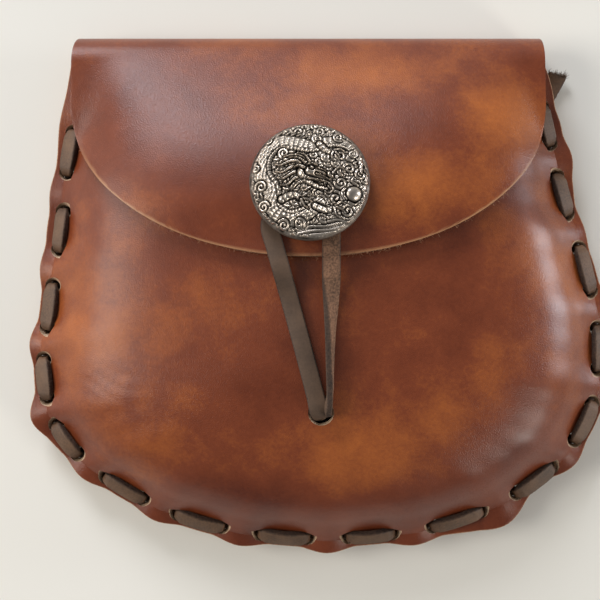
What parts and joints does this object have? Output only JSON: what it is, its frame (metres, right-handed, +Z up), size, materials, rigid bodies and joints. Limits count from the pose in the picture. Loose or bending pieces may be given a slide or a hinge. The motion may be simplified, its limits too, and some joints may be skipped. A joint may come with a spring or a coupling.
{
  "type": "leather pouch",
  "caption": "Laced leather belt pouch lying on its back, with a gathered domed front, a half-oval flap and a thong loop that closes over a round cast concho.",
  "frame": {"origin": "on the flat resting face of the back panel, near the middle of the pouch", "axes": "+X to the pouch's right across its width, +Y towards the mouth and the top fold, +Z up out of the front with the concho"},
  "size_m": [0.1531, 0.1353, 0.0393],
  "materials": {
    "body_leather": "mottled cognac, semi-gloss, fine grain",
    "flap_leather": "mottled cognac, semi-gloss, fine grain, raw tan edge",
    "lace_leather": "dark olive brown, satin",
    "thong_leather": "grey brown, satin grain side and rough flesh side",
    "antique_silver": "cast antique silver with blackened recesses",
    "screw_steel": "plain nickel"
  },
  "bodies": {
    "root": {"front_panel": "body_leather", "back_panel_and_flap": "flap_leather", "edge_lace": "lace_leather", "closure_thong": "thong_leather", "concho": "antique_silver", "concho_screw": "screw_steel"}
  },
  "joints": []
}
